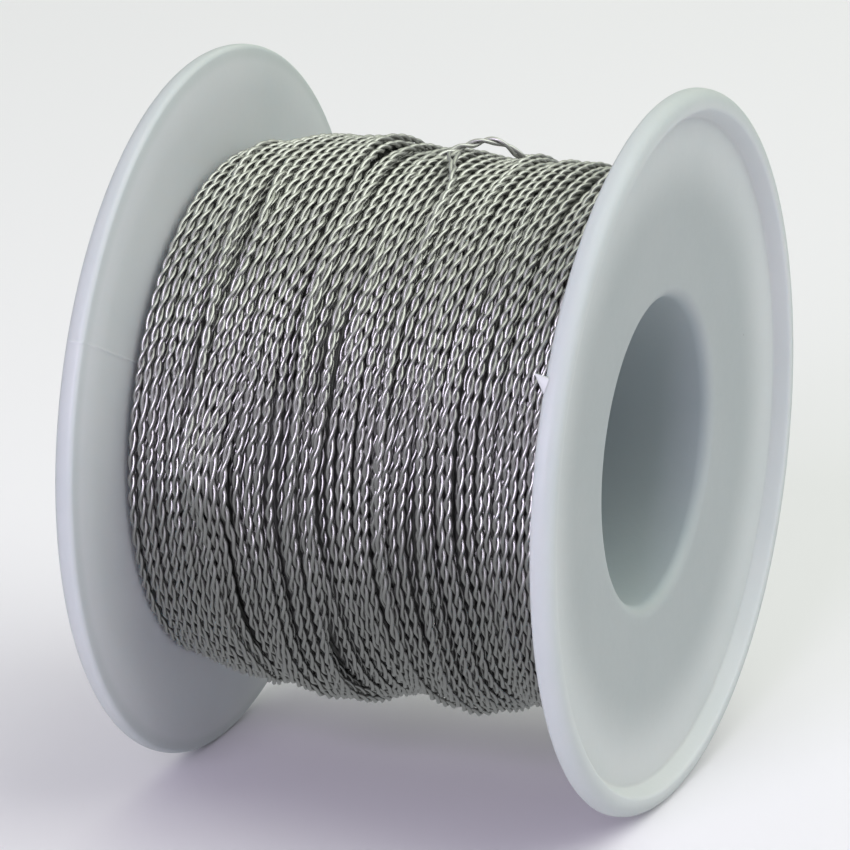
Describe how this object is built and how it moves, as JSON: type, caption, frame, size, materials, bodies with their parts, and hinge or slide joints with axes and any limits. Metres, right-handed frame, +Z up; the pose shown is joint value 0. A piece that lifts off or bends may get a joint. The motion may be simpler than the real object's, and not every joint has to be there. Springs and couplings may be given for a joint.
{
  "type": "filament spool",
  "caption": "Small flanged plastic wire spool with a through bore, wound full of two-strand twisted steel wire whose cut end is tucked under the last turns.",
  "frame": {"origin": "on the surface the spool lies on, midway between its two rims", "axes": "+X along the bore towards the right flange, +Z up, -Y towards the front, where the free wire end comes up"},
  "size_m": [0.0356, 0.05, 0.05],
  "materials": {
    "spool_plastic": "natural white moulded plastic, slightly translucent, satin",
    "twisted_wire": "bright drawn steel strands, twisted in pairs, slightly dulled"
  },
  "bodies": {
    "root": {"left_flange": "spool_plastic", "right_flange": "spool_plastic", "barrel": "spool_plastic", "inner_layers": "twisted_wire", "top_layers": "twisted_wire", "wire_end": "twisted_wire"}
  },
  "joints": []
}
